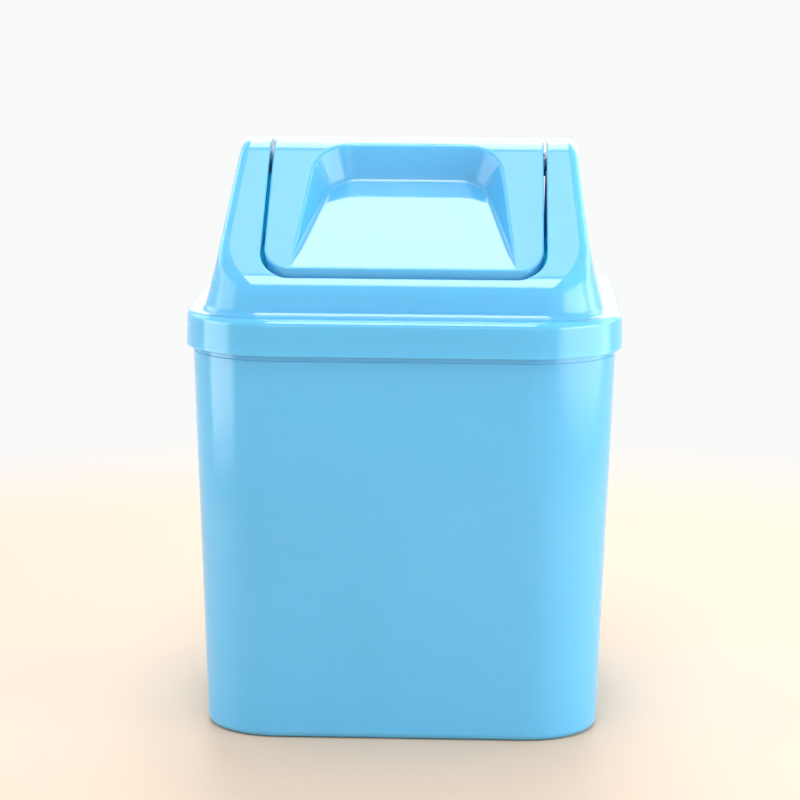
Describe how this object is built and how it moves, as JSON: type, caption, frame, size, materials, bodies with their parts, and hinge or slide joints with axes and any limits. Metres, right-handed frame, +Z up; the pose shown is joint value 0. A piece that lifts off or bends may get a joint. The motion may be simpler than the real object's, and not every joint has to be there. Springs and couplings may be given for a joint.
{
  "type": "desktop trash can",
  "caption": "Small tapered desktop trash can: rounded square bin, lift-off lid with a roof-shaped hood, and a swing flap with finger scoops.",
  "frame": {"origin": "middle of the base, on the table", "axes": "+Z up, +X to the right seen from the front, +Y from the front to the back; the crest of the hood and the axis of the flap lie along X"},
  "size_m": [0.1456, 0.1456, 0.1955],
  "materials": {
    "bin_plastic": "moulded gloss, light blue",
    "lid_plastic": "moulded gloss, light blue",
    "flap_plastic": "moulded gloss, light blue"
  },
  "bodies": {
    "bin": {"bin_body": "bin_plastic"},
    "lid": {"lid_hood": "lid_plastic"},
    "flap": {"swing_flap": "flap_plastic"}
  },
  "joints": [
    {"name": "lid_lift", "type": "slide", "parent": "bin", "child": "lid", "axis": [0, 0, 1], "range_m": [0, 0.1]},
    {"name": "flap_swing", "type": "hinge", "parent": "lid", "child": "flap", "pos_m": [0, 0, 0.1869], "axis": [1, 0, 0], "range_deg": [-60, 60]}
  ]
}
